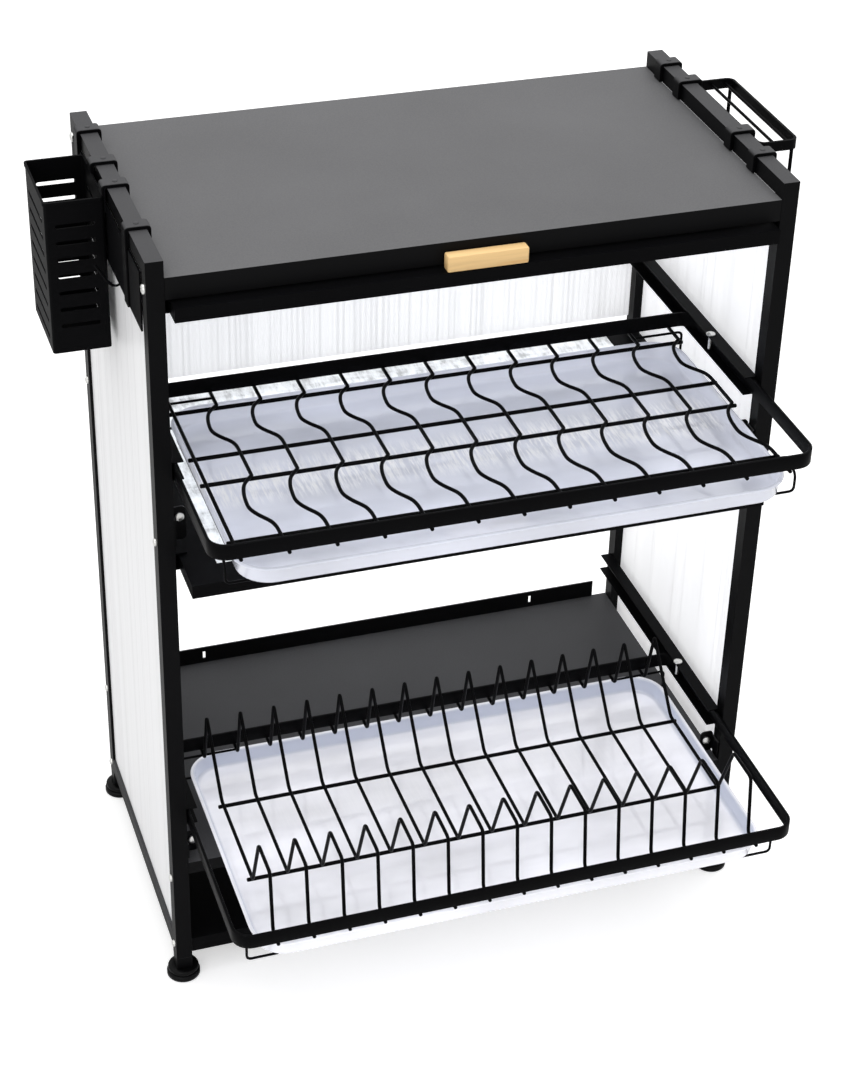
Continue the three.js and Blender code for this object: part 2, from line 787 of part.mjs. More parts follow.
function wireHook() {
  const root = halfWidth - wireHookRadius / 2;
  const low = bandBottomHeight - 2 * wireHookRadius;
  const y = wireHookPlace;
  return wire(softened([
    [-root, y, low + wireHookRise], [-root, y, low], [-root - wireHookFlat, y, low],
    [-halfWidth - wireHookReach, y, low + wireHookTipRise],
  ], wireHookBend), wireHookRadius);
}

// Places of everything that hangs outside the bands
const hangGap = fitGap + strapThickness + fitGap;

// Utensil basket: a slotted box hung over the left rail by two straps
function utensilBasket() {
  const inner = -halfWidth - hangGap - strapThickness + fitGap;
  const outer = inner - basketWidth;
  const rear = basketFront + basketLength;
  const top = cabinetHeight - basketTopDrop;
  const bottom = top - basketHeight;
  const wall = basketWall;
  const radius = basketCornerRadius;
  const outside = roundedRectangle(new THREE.Shape(), outer, inner, basketFront, rear, radius);
  const hollow = roundedRectangle(
    new THREE.Shape(), outer + wall, inner - wall, basketFront + wall, rear - wall, radius - wall);
  const brim = basketRimWidth;
  const rim = roundedRectangle(
    new THREE.Shape(), outer - brim, inner, basketFront - brim, rear + brim, radius + brim);
  const body = unite([alongZ(outside, bottom, top), alongZ(rim, top - basketRimHeight, top)]);
  const shell = body.subtract(alongZ(hollow, bottom + wall, top + overrun));
  const tools = [];
  const middleX = (outer + inner) / 2;
  const middleY = (basketFront + rear) / 2;
  const frontHalf = basketFrontSlotLength / 2;
  const sideHalf = basketSideSlotLength / 2;
  for (let row = 0; row < basketSideSlots; row += 1) {
    const height = top - basketSlotTopGap - row * basketSlotPitch;
    const side = slotShape(middleY - sideHalf, middleY + sideHalf, height, basketSlotHeight);
    tools.push(alongX(side, outer - overrun, inner + overrun));
    if (row < basketFrontSlots) {
      const front = slotShape(middleX - frontHalf, middleX + frontHalf, height, basketSlotHeight);
      tools.push(alongY(front, basketFront - overrun, rear + overrun));
    }
  }
  const drill = new THREE.CylinderGeometry(basketFloorHoleRadius, basketFloorHoleRadius, 2 * overrun, 10);
  drill.rotateX(Math.PI / 2);
  for (let row = 0; row < basketFloorHoleRows; row += 1) {
    const y = basketFront + basketLength * (row + 1) / (basketFloorHoleRows + 1);
    for (const share of basketFloorHoleShares) {
      tools.push(toSolid(drill.clone().translate(outer + basketWidth * share, y, bottom)));
    }
  }
  const straps = basketStraps.map((place) => strap(place, hangGap, top - basketStrapDrop));
  return unite([cut(shell, tools), ...straps]);
}

// Board holder, drawn at the left side and mirrored: a bar loop, two wires along it and a bent
// wire whose legs and foot keep the board off the wall
function boardHolder() {
  const inner = -halfWidth - hangGap - strapThickness + fitGap;
  const outer = -halfWidth - boardReach;
  const rear = boardFront + boardLength;
  const top = cabinetHeight - boardTopDrop;
  const low = top - boardBarHeight;
  const thick = boardBarThickness;
  const radius = boardCornerRadius;
  const loop = roundedRectangle(new THREE.Shape(), outer, inner, boardFront, rear, radius);
  loop.holes.push(roundedRectangle(
    new THREE.Path(), outer + thick, inner - thick, boardFront + thick, rear - thick, radius - thick));
  const bodies = [alongZ(loop, low, top)];
  const wireLevel = (low + top) / 2;
  for (const share of boardWireShares) {
    const x = -halfWidth - boardReach * share;
    const ends = [[x, boardFront + thick / 2, wireLevel], [x, rear - thick / 2, wireLevel]];
    bodies.push(wire(ends, boardWireRadius));
  }
  const legX = outer + thick + boardLegRadius - barWeld;
  const footX = -halfWidth - boardLegWallGap;
  const footLevel = top - boardLegDrop;
  const legFront = boardFront + boardLegEndInset;
  const legRear = rear - boardLegEndInset;
  bodies.push(wire(softened([
    [legX, legFront, wireLevel], [legX, legFront, footLevel], [footX, legFront, footLevel],
    [footX, legRear, footLevel], [legX, legRear, footLevel], [legX, legRear, wireLevel],
  ], boardLegBend), boardLegRadius));
  bodies.push(...boardStraps.map((place) => strap(place, hangGap, low)));
  return mirrored(unite(bodies));
}

// Frame and sheets
const leftFrame = sideFrame();
addSolid('left_side_frame', leftFrame, blackSteel);
addSolid('right_side_frame', mirrored(leftFrame), blackSteel);
const footX = halfWidth - tubeSize / 2;
const footPlaces = {
  front_left_foot: [-footX, tubeSize / 2],
  front_right_foot: [footX, tubeSize / 2],
  rear_left_foot: [-footX, cabinetDepth - tubeSize / 2],
  rear_right_foot: [footX, cabinetDepth - tubeSize / 2],
};
for (const [name, [x, y]] of Object.entries(footPlaces)) {
  addSolid(name, toSolid(foot()).translate([x, y, 0]), rubber);
}
addSolid('top_panel', topPanel(), panelSteel);
addSolid('lower_shelf', lowerShelf(), panelSteel);
addSolid('bottom_pan', bottomPan(), blackSteel);
const leftWall = sideWall();
addSolid('left_wall', leftWall, whiteSheet);
addSolid('right_wall', mirrored(leftWall), whiteSheet);
addSolid('back_wall', backWall(), whiteSheet);

// Channels, stop screws and catches
const upperDoorTop = upperDoorBottom + doorThickness;
const lowerDoorTop = lowerDoorBottom + doorThickness;
const pairs = [
  ['upper', 'rack_channel', rackChannel(upperRackBarTop), blackSteel],
  ['lower', 'rack_channel', rackChannel(lowerRackBarTop), blackSteel],
  ['upper', 'door_guide', channel(upperDoorBottom, upperDoorTop), blackSteel],
  ['lower', 'door_guide', channel(lowerDoorBottom, lowerDoorTop), blackSteel],
  ['upper', 'door_catch', doorCatch(upperCatchBottom, upperCatchHeight), blackSteel],
  ['lower', 'door_catch', doorCatch(shelfHeight + catchShelfGap, lowerCatchHeight), blackSteel],
];
for (const [level, kind, body, material] of pairs) {
  addSolid(`${level}_left_${kind}`, body, material);
  addSolid(`${level}_right_${kind}`, mirrored(body), material);
}
const screw = toSolid(stopScrew());
for (const [level, barTop] of [['upper', upperRackBarTop], ['lower', lowerRackBarTop]]) {
  const seat = barTop + runningGap + channelSheet;
  addSolid(`${level}_left_stop_screw`, screw.translate([-stopScrewX, stopScrewPlace, seat]), zinc);
  addSolid(`${level}_right_stop_screw`, screw.translate([stopScrewX, stopScrewPlace, seat]), zinc);
}

// Racks, trays, doors
addSolid('upper_rack', upperRack(), blackSteel);
addSolid('lower_rack', lowerRack(), blackSteel);
addSolid('upper_drip_tray', dripTray(upperRackBarTop, upperTrayFront, upperTrayDepth), trayPlastic);
addSolid('lower_drip_tray', dripTray(lowerRackBarTop, lowerTrayFront, lowerTrayDepth), trayPlastic);
const doors = [
  ['upper', upperDoorBottom, upperDoorFront, upperDoorLength],
  ['lower', lowerDoorBottom, lowerDoorFront, lowerDoorLength],
];
for (const [level, bottom, front, length] of doors) {
  addSolid(`${level}_door_frame`, doorFrame(bottom, front, length), blackSteel);
  addSolid(`${level}_door_window`, doorWindow(bottom, front, length), clearSheet);
  addSolid(`${level}_door_handle`, doorHandle(bottom, front), pine);
}

// Hang-on parts
addSolid('left_hanging_band', hangingBand(leftBandStraps).add(wireHook()), blackSteel);
addSolid('right_hanging_band', mirrored(hangingBand(rightBandStraps)), blackSteel);
addSolid('utensil_basket', utensilBasket(), blackSteel);
addSolid('board_holder', boardHolder(), blackSteel);

// The origin lies under the middle of the whole
const bounds = new THREE.Box3().setFromObject(rack);
const middle = bounds.getCenter(new THREE.Vector3());
for (const mesh of rack.children) mesh.geometry.translate(-middle.x, -middle.y, -bounds.min.z);

export default rack;
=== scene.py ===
"""Dish drying rack with cabinet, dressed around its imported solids."""

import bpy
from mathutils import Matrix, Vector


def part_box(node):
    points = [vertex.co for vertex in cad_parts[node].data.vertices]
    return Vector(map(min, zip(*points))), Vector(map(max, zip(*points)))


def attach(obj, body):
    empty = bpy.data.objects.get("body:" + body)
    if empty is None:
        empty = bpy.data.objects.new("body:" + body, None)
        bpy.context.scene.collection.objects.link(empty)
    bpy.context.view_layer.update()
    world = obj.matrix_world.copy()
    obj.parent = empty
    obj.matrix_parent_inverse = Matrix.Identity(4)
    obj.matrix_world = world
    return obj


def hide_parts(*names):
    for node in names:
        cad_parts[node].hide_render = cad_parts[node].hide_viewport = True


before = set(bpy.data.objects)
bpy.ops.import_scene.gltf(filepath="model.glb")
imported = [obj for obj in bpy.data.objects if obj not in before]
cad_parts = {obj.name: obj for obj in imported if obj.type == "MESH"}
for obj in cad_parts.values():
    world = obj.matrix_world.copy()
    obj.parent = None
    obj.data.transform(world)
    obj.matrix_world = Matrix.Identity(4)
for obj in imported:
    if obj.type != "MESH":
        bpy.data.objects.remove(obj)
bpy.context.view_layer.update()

import math

import bmesh
import bpy
from mathutils import Euler, Vector

bl_info = {
    "name": "Dish Drying Rack With Cabinet",
    "version": (1, 0, 0),
    "blender": (4, 5, 0),
    "location": "View3D > Sidebar > Dish Rack",
    "description": "Wire racks, trays, doors, walls and fittings of a dish drying cabinet",
    "category": "Add Mesh",
}

MM = 0.001
LEFT_LOW, LEFT_HIGH = (Vector(corner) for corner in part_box("left_side_frame"))
RIGHT_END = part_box("right_side_frame")[1][0]
MIDDLE_X = (LEFT_LOW.x + RIGHT_END) / 2
FRONT_Y = LEFT_LOW.y
HALF_WIDTH = (RIGHT_END - LEFT_LOW.x) / 2 / MM
DEPTH = (LEFT_HIGH.y - LEFT_LOW.y) / MM
HEIGHT = LEFT_HIGH.z / MM
LEVELS = ("upper", "lower")
SIDES = {"left": -1, "right": 1}
SMOOTH_ANGLE = math.radians(40)
WHITE = (1, 1, 1)
BLACK = (0, 0, 0)

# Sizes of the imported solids, in millimetres, that the dressed pieces have to meet
TUBE = 16
RACK_HALF = 281.5
RACK_BAR_HEIGHT = 15
RACK_CORNER = 18
WIRE_RADIUS = 2.1
CROSS_RADIUS = 2.3
HOOK_RADIUS = 1.4
BAR_GRIP = 0.6
WELD_DEPTH = 0.9
HOOK_ARM_DROP = 30.5


def at(x, y, z):
    """A point in millimetres from the cabinet's middle, the posts' front faces and the floor."""
    return Vector((MIDDLE_X + x * MM, FRONT_Y + y * MM, z * MM))


def box_mm(node):
    """Lowest and highest corner of a solid, in the cabinet's millimetres."""
    low, high = (Vector(corner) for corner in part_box(node))
    origin = at(0, 0, 0)
    return (low - origin) / MM, (high - origin) / MM


# Shader maths


class Socket:
    """An output in a node tree, with the maths that the shaders need."""

    def __init__(self, nodes, plug):
        self.nodes = nodes
        self.plug = plug

    def maths(self, operation, *values):
        return self.nodes.node("Math", {"operation": operation}, dict(enumerate(values)))

    def __add__(self, other):
        return self.maths("ADD", self, other)

    __radd__ = __add__

    def __sub__(self, other):
        return self.maths("SUBTRACT", self, other)

    def __rsub__(self, other):
        return self.maths("SUBTRACT", other, self)

    def __mul__(self, other):
        return self.maths("MULTIPLY", self, other)

    __rmul__ = __mul__

    def maximum(self, other):
        return self.maths("MAXIMUM", self, other)

    def sine(self):
        return self.maths("SINE", self)

    def ranged(self, low, high, to_low=0.0, to_high=1.0):
        """The span from low to high stretched over another span, and held at its ends."""
        sockets = {
            "Value": self, "From Min": low, "From Max": high, "To Min": to_low, "To Max": to_high}
        return self.nodes.node("MapRange", {"clamp": True}, sockets)


class Nodes:
    """A node tree that is cleared and built again, one call for each node."""

    def __init__(self, tree):
        self.tree = tree
        self.tree.nodes.clear()

    def node(self, kind, settings, sockets, output=0):
        """A node of this kind: settings first, then the values or links of its sockets."""
        made = self.tree.nodes.new("ShaderNode" + kind)
        for key, value in settings.items():
            if key == "stops":
                self.stops(made.color_ramp, value)
            else:
                setattr(made, key, value)
        for key, value in sockets.items():
            if isinstance(value, Socket):
                self.tree.links.new(value.plug, made.inputs[key])
            else:
                made.inputs[key].default_value = value
        return made if output is None else Socket(self, made.outputs[output])

    @staticmethod
    def stops(ramp, stops):
        while len(ramp.elements) < len(stops):
            ramp.elements.new(0.5)
        for element, (place, colour) in zip(ramp.elements, stops):
            element.position = place
            element.color = (*colour, 1)

    def rays(self, kind):
        return self.node("LightPath", {}, {}, f"Is {kind} Ray")


# How far a face has to look up, and how far it has to look inwards times its distance in metres
UPWARD_SPAN = (0.35, 0.95)
INWARD_SPAN = (-0.01, -0.09)


class Finish(Nodes):
    """A material on one surface shader."""

    def __init__(self, name, **uniform):
        self.material = bpy.data.materials.new(name)
        self.material.use_nodes = True
        super().__init__(self.material.node_tree)
        self.shader = self.node("BsdfPrincipled", {}, {}, "BSDF")
        self.node("OutputMaterial", {}, {"Surface": self.shader}, None)
        self.set(**uniform)

    def set(self, **values):
        """Values or links on the surface shader, named as its sockets are."""
        shader = self.shader.plug.node
        for key, value in values.items():
            name = key.replace("_", " ").title().replace("Ior", "IOR")
            if isinstance(value, Socket):
                self.tree.links.new(value.plug, shader.inputs[name])
            else:
                shader.inputs[name].default_value = value

    def place(self):
        return self.node("TexCoord", {}, {}, "Object")

    def part(self, vector, axis):
        return self.node("SeparateXYZ", {}, {"Vector": vector}, axis)

    def facing(self, axis):
        """How far the surface faces along a world axis, from -1 to 1."""
        return self.part(self.node("NewGeometry", {}, {}, "Normal"), axis)

    def upward(self):
        """1 where the surface faces up, 0 on steep sides."""
        return self.facing("Z").ranged(*UPWARD_SPAN)

    def inward(self, middle):
        """1 on steep sides that face the middle of a tray, 0 on its floor and its outer sides."""
        across = self.facing("X") * self.part(self.place(), "X")
        along = self.facing("Y") * (self.part(self.place(), "Y") - middle)
        return (across + along).ranged(*INWARD_SPAN)

    def blend(self, share, first, second):
        """The first colour at share 0, the second at share 1."""
        return self.node("Mix", {"data_type": "RGBA"}, {0: share, 6: first, 7: second}, 2)

    def stretched(self, scale):
        return self.node("Mapping", {}, {"Vector": self.place(), "Scale": scale})

    def noise(self, scale, detail, vector=None, roughness=0.5):
        sockets = {"Vector": vector or self.place(), "Scale": scale}
        sockets.update({"Detail": detail, "Roughness": roughness})
        return self.node("TexNoise", {}, sockets)

    def ramp(self, factor, stops):
        return self.node("ValToRGB", {"stops": stops}, {"Fac": factor})

    def bump(self, height, strength, distance):
        sockets = {"Height": height, "Strength": strength, "Distance": distance}
        self.set(normal=self.node("Bump", {}, sockets))


RIB_PITCH = 0.006
RIB_TURNS = 2 * math.pi / RIB_PITCH
# Painted glow colour on the outer faces of the glowing sheets.
PAINTED_OUTER_GLOW = (0.12, 0.12, 0.12, 1)
# Painted highlight: white streaks in a band between these depths of a tray.
PAINTED_HIGHLIGHT = (0.98, 0.98, 0.99, 1)
HIGHLIGHT_BAND_FRONT = at(0, -14, 0).y
HIGHLIGHT_BAND_REAR = at(0, 66, 0).y
HIGHLIGHT_BAND_STOPS = [(0.0, BLACK), (0.25, WHITE), (0.7, WHITE), (1.0, BLACK)]
HIGHLIGHT_STREAK_STOPS = [(0.44, BLACK), (0.6, WHITE)]
# Painted glow colour on a tray's outer sides.
PAINTED_SIDE_GLOW_STOPS = [(0.3, (0.85, 0.85, 0.88)), (0.7, (0.95, 0.95, 0.98))]


def rgba(colour):
    return (*colour, 1)


def shaded(colour, factor):
    return tuple(min(1.0, part * factor) for part in colour)


def toned(colour, *stops):
    """Stops of a colour ramp, each a place and how bright the colour is there."""
    return [(place, shaded(colour, factor)) for place, factor in stops]


def powder_coat(name, colour, upward, roughness, specular):
    """Paint baked on steel: orange-peel grain, faint changes of gloss, and a painted sheen that
    makes upward faces paler.
    """
    finish = Finish(name, specular_ior_level=specular)
    grain = finish.noise(1500, 2)
    cloud = finish.noise(9, 4)
    speckle = finish.noise(700, 2)
    paint = finish.ramp(cloud, toned(colour, (0.3, 0.85), (0.7, 1.15)))
    # Painted sheen: upward faces blend towards a paler colour in place of the light that falls on
    # them.
    painted_sheen = finish.ramp(speckle * 0.6 + cloud * 0.4, toned(upward, (0.35, 0.9), (0.65, 1.1)))
    finish.set(
        base_color=finish.blend(finish.upward(), paint, painted_sheen),
        roughness=cloud * 0.12 + (roughness - 0.06))
    finish.bump(grain, 0.12, 0.0002)
    return finish.material


def ribbed_sheet(name, colour, glow, axis="X"):
    """Milky twin-wall sheet with ribs and fine streaks, and a painted glow on the faces that look
    inwards across the axis, dimmer on the outer faces.
    """
    # The emission is a painted glow, standing in for light that comes through the sheet.
    finish = Finish(name, ior=1.45, specular_ior_level=0.25, emission_strength=glow)
    upright = finish.stretched((1, 1, 0.002))
    fine = finish.noise(420, 2, upright)
    broad = finish.noise(70, 3, upright)
    across = finish.part(finish.place(), "X") + finish.part(finish.place(), "Y")
    ribs = (across * RIB_TURNS).sine()
    streaks = fine * 0.6 + broad * 0.4 + ribs * 0.08
    tone = finish.ramp(streaks, toned(colour, (0.36, 0.84), (0.47, 0.96), (0.6, 1)))
    outside = finish.facing(axis) * 0.5 + 0.5
    finish.set(
        base_color=tone, emission_color=finish.blend(outside, tone, PAINTED_OUTER_GLOW),
        roughness=streaks * 0.2 + 0.3)
    finish.bump(streaks, 0.2, 0.0004)
    return finish.material


def frosted_plastic(name, colour, wall, middle, glow, highlight_strength):
    """Milky tray plastic with soft flow marks, a band of painted highlight streaks, painted shade
    on its inner walls and a painted glow.
    """
    finish = Finish(
        name, ior=1.46, specular_ior_level=0.6, transmission_weight=0.35, emission_strength=glow,
        coat_weight=1.0, coat_roughness=0.03)
    flow = finish.noise(7, 4, finish.stretched((1, 2.5, 1)))
    milk = finish.ramp(flow, toned(colour, (0.3, 0.86), (0.7, 1.1)))
    # Painted highlight: a band of white streaks laid over the milky colour.
    depth = finish.part(finish.place(), "Y").ranged(HIGHLIGHT_BAND_FRONT, HIGHLIGHT_BAND_REAR)
    band = finish.ramp(depth, HIGHLIGHT_BAND_STOPS)
    streaks = finish.ramp(finish.noise(330, 3, finish.stretched((1, 0.1, 1)), 0.7), HIGHLIGHT_STREAK_STOPS)
    inward = finish.inward(at(0, middle, 0).y)
    tone = finish.blend(band * streaks * highlight_strength, milk, PAINTED_HIGHLIGHT)
    # Painted shade: inner walls take the wall colour, in the glow colour here and in the base
    # colour below.
    sides = finish.blend(inward, finish.ramp(flow, PAINTED_SIDE_GLOW_STOPS), rgba(wall))
    # Painted glow: upward faces glow in the tray's own colour, outer sides in a pale colour, inner
    # walls in the wall colour.
    finish.set(
        base_color=finish.blend(inward, tone, rgba(wall)),
        emission_color=finish.blend(finish.upward(), sides, tone), roughness=flow * 0.2 + 0.12)
    finish.bump(finish.noise(260, 2), 0.06, 0.0004)
    return finish.material


def clear_plastic(name, colour):
    """Crinkled clear film with painted reflections in short streaks, brighter where it crinkles,
    and a painted glow.
    """
    finish = Finish(name, ior=1.49, transmission_weight=0.35, emission_strength=0.33)
    waves = finish.noise(38, 3, finish.stretched((1, 3, 1)))
    crinkles = finish.noise(160, 4, finish.stretched((1, 0.22, 1)), 0.7)
    mixed = waves * 0.35 + crinkles * 0.65
    # Painted reflections: the colour brightens with the crinkles, and the same colour glows as
    # painted light.
    tone = finish.ramp(mixed, toned(colour, (0.38, 0.55), (0.48, 0.85), (0.58, 1)))
    finish.set(base_color=tone, emission_color=tone, roughness=crinkles * 0.2 + 0.02)
    finish.bump(mixed, 0.6, 0.002)
    return finish.material


def plated_steel(name, colour):
    """Bright zinc on small screws."""
    finish = Finish(name, metallic=1.0, base_color=rgba(colour))
    finish.set(roughness=finish.noise(400, 2) * 0.25 + 0.18)
    finish.bump(finish.noise(900, 2), 0.1, 0.0001)
    return finish.material


DARK_GRAIN_SHARES = (0.86, 0.74, 0.58)


def pine_wood(name, colour):
    """Pale softwood with long grain lines and a few darker streaks."""
    finish = Finish(name, specular_ior_level=0.3)
    wander = finish.noise(22, 2, finish.stretched((0.35, 1, 1)))
    fine = finish.noise(420, 3, finish.stretched((0.05, 1, 1)))
    bands = finish.noise(95, 3, finish.stretched((0.045, 1, 1)))
    mix = bands * 0.65 + fine * 0.25 + wander * 0.1
    dark = tuple(part * share for part, share in zip(colour, DARK_GRAIN_SHARES))
    tone = finish.ramp(mix, [(0.36, dark), *toned(colour, (0.47, 0.93), (0.62, 1.06))])
    finish.set(base_color=tone, roughness=fine * 0.2 + 0.42)
    finish.bump(mix, 0.2, 0.0004)
    return finish.material


def moulded_black(name, colour):
    """Black moulding of the feet, with a fine spark-eroded grain."""
    finish = Finish(name, specular_ior_level=0.12, base_color=rgba(colour))
    grain = finish.noise(1100, 2)
    finish.set(roughness=grain * 0.15 + 0.3)
    finish.bump(grain, 0.2, 0.0002)
    return finish.material


# Meshes


NEARLY_UPRIGHT = 0.1
TIP_REACH = 0.35
TIP_SHARE = 0.7
STRAP_EASE_SHARE = 0.2
CROSS_SHARE = 0.38


def directions(points):
    """Each point of a path with the direction that the path has there."""
    for index, point in enumerate(points):
        before = points[max(index - 1, 0)]
        after = points[min(index + 1, len(points) - 1)]
        yield point, (after - before).normalized()


class Shape:
    """Corners and faces gathered for one piece."""

    def __init__(self):
        self.corners = []
        self.faces = []

    def skin(self, rings, round_trip=False):
        """Faces between matching rings, with flat ends unless the last ring meets the first."""
        start = len(self.corners)
        size = len(rings[0])
        count = len(rings)
        for ring in rings:
            self.corners.extend(ring)
        for index in range(count if round_trip else count - 1):
            here = start + index * size
            there = start + (index + 1) % count * size
            for step in range(size):
                after = (step + 1) % size
                self.faces.append((here + step, here + after, there + after, there + step))
        if not round_trip:
            self.faces.append(tuple(range(start + size - 1, start - 1, -1)))
            self.faces.append(tuple(range(start + (count - 1) * size, start + count * size)))

    def wire(self, points, radius, sides=10):
        """A round wire along points, its section carried along without twisting, its tips eased."""
        turns = [2 * math.pi * step / sides for step in range(sides)]
        rings = []
        side = None
        for point, along in directions(points):
            if side is None:
                side = along.cross(Vector((0, 0, 1)))
                if side.length < NEARLY_UPRIGHT:
                    side = along.cross(Vector((1, 0, 0)))
            side = (side - along * side.dot(along)).normalized()
            other = along.cross(side)
            rings.append([
                point + (side * math.cos(turn) + other * math.sin(turn)) * radius * MM
                for turn in turns])
        first = self.tip(points[0], points[1], rings[0], radius)
        last = self.tip(points[-1], points[-2], rings[-1], radius)
        self.skin([first, *rings, last])

    @staticmethod
    def tip(end, before, ring, radius):
        """The smaller ring a little past the end of a wire."""
        past = (end - before).normalized() * TIP_REACH * radius * MM
        return [end + (corner - end) * TIP_SHARE + past for corner in ring]

    def strap(self, path, width, thick):
        """A flat strap bent along a path across the cabinet, with eased edges."""
        half, face = width / 2, thick / 2
        ease = thick * STRAP_EASE_SHARE
        section = [
            (half, face - ease), (half - ease, face), (ease - half, face), (-half, face - ease)]
        section += [(-across, -off) for across, off in section]
        lengthwise = Vector((0, 1, 0))
        rings = []
        for point, along in directions(path):
            out = along.cross(lengthwise)
            rings.append([
                point + (lengthwise * across + out * off) * MM for across, off in section])
        self.skin(rings)

    def turned(self, profile, centre, axis=(0, 0, 1), sides=24, lobes=None):
        """A turned form; profile gives radius and height, rings from lobes on are cross-shaped."""
        axis = Vector(axis).normalized()
        side = axis.orthogonal().normalized()
        other = axis.cross(side)
        rings = []
        for index, (radius, height) in enumerate(profile):
            ring = []
            for step in range(sides):
                angle = 2 * math.pi * step / sides
                reach = radius
                if lobes and index >= lobes:
                    reach = radius * (1 - CROSS_SHARE + CROSS_SHARE * math.cos(4 * angle))
                spot = side * math.cos(angle) + other * math.sin(angle)
                ring.append(centre + (spot * reach + axis * height) * MM)
            rings.append(ring)
        self.skin(rings)

    def piece(self, name, material, body, slot):
        """The finished object, riding on its body; its slot argument is not used."""
        mesh = bpy.data.meshes.new(name)
        mesh.from_pydata(self.corners, [], self.faces)
        mesh.validate()
        mesh.update()
        mesh.materials.append(material)
        made = bpy.data.objects.new(name, mesh)
        bpy.context.scene.collection.objects.link(made)
        outward(made)
        mesh.shade_smooth()
        mesh.set_sharp_from_angle(angle=SMOOTH_ANGLE)
        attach(made, body)
        return made


def outward(made):
    """Turns every face of a piece to the outside."""
    work = bmesh.new()
    work.from_mesh(made.data)
    bmesh.ops.recalc_face_normals(work, faces=work.faces)
    work.to_mesh(made.data)
    work.free()


SMALLEST_CORNER = 0.2
BAR_EDGE = 0.6
SOFT_EDGE_SHARE = 0.3


def round_loop(half, front, rear, radius, inset, height, steps=8):
    """A ring on a rectangle with round corners, stepped in by inset."""
    corner = max(radius - inset, SMALLEST_CORNER)
    ring = []
    side = half - inset - corner
    low = front + inset + corner
    high = rear - inset - corner
    for turn, (x, y) in enumerate([(side, high), (-side, high), (-side, low), (side, low)]):
        for step in range(steps + 1):
            angle = math.pi / 2 * (turn + step / steps)
            ring.append(at(x + corner * math.cos(angle), y + corner * math.sin(angle), height))
    return ring


def eased_section(width, low, high, edge):
    """Inset and height round a flat bar's section, with eased corners."""
    soft = edge * SOFT_EDGE_SHARE
    return [
        (edge, low), (width - edge, low), (width - soft, low + soft), (width, low + edge),
        (width, high - edge), (width - soft, high - soft), (width - edge, high), (edge, high),
        (soft, high - soft), (0, high - edge), (0, low + edge), (soft, low + soft),
    ]


def flat_loop(shape, half, front, rear, radius, low, high, thick):
    """A flat bar bent into a closed loop."""
    section = eased_section(thick, low, high, BAR_EDGE)
    rings = [round_loop(half, front, rear, radius, inset, height) for inset, height in section]
    shape.skin(rings, round_trip=True)


def softened(corners, bend, steps=6):
    """Corners of a wire's path replaced by even bends."""
    path = [corners[0]]
    for before, here, after in zip(corners, corners[1:], corners[2:]):
        start = here.lerp(before, min(bend * MM / (here - before).length, 0.5))
        end = here.lerp(after, min(bend * MM / (here - after).length, 0.5))
        for step in range(steps + 1):
            share = step / steps
            path.append(start.lerp(here, share).lerp(here.lerp(end, share), share))
    path.append(corners[-1])
    return path


def flowing(points, steps=4):
    """A smooth line through all the points."""
    path = []
    for index in range(len(points) - 1):
        before = points[max(index - 1, 0)]
        here, there = points[index], points[index + 1]
        after = points[min(index + 2, len(points) - 1)]
        for step in range(steps):
            t = step / steps
            path.append(0.5 * (
                2 * here + (there - before) * t
                + (2 * before - 5 * here + 4 * there - after) * t * t
                + (3 * here - before - 3 * there + after) * t * t * t))
    path.append(points[-1])
    return path


def finish_node(name, material, edge=0.0):
    """Gives a solid its material and, where asked, softly eased edges."""
    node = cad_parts[name]
    node.data.materials.clear()
    node.data.materials.append(material)
    if edge:
        ease = node.modifiers.new("ease", "BEVEL")
        ease.width = edge * MM
        ease.segments = 2
        ease.limit_method = "ANGLE"
        ease.angle_limit = SMOOTH_ANGLE
        ease.harden_normals = True


FINISHES = {}


def finish(name):
    """The material of that name, made once from the colours in the sidebar."""
    if name not in FINISHES:
        tones = bpy.context.scene.dish_rack_colours
        steel, deep = tones.steel, tones.wire_top
        maker, *values = {
            # Black, panel and shelf steel carry a painted sheen on upward faces; rack and deep
            # steel keep their upward faces as dark as the steel.
            "black_steel": (powder_coat, "satin black steel", steel, tones.steel_painted_sheen, 0.42, 0.06),
            "rack_steel": (powder_coat, "satin black wire", steel, deep, 0.38, 0.03),
            "deep_steel": (powder_coat, "satin black sheet", deep, deep, 0.5, 0.03),
            "panel_steel": (powder_coat, "satin panel steel", steel, tones.panel_painted_sheen, 0.5, 0.08),
            "shelf_steel": (powder_coat, "satin shelf steel", steel, tones.shelf_painted_sheen, 0.5, 0.08),
            # The right and back sheets carry a painted glow; the left sheet has none.
            "left_sheet": (ribbed_sheet, "ribbed white sheet", tones.wall, 0),
            "right_sheet": (ribbed_sheet, "ribbed sheet lit from the right", tones.wall, 0.5),
            "back_sheet": (ribbed_sheet, "ribbed sheet lit from behind", tones.wall, 0.41, "Y"),
            # Shaded and lit copies of one tray plastic, each with a painted glow; the upper one
            # also has a strong painted highlight band.
            "upper_tray": (
                frosted_plastic, "frosted plastic in the shade", tones.tray, tones.tray,
                6, 0.17, 0.9),
            "lower_tray": (
                frosted_plastic, "frosted plastic in the light", tones.lower_tray, tones.tray_wall,
                -24, 0.3, 0.1),
            "clear_sheet": (clear_plastic, "clear window sheet", tones.window),
            "zinc": (plated_steel, "zinc plated steel", tones.zinc),
            "pine": (pine_wood, "oiled pine", tones.pine),
            "foot_rubber": (moulded_black, "moulded black", tones.foot),
        }[name]
        FINISHES[name] = maker(*values)
    return FINISHES[name]


# Sizes and colours


def length(name, default, description):
    return bpy.props.FloatProperty(
        name=name, description=description, default=default, min=0.0, subtype="DISTANCE",
        unit="LENGTH")


def colour(name, default, description):
    return bpy.props.FloatVectorProperty(
        name=name, description=description, default=default, size=3, min=0.0, max=1.0,
        subtype="COLOR")


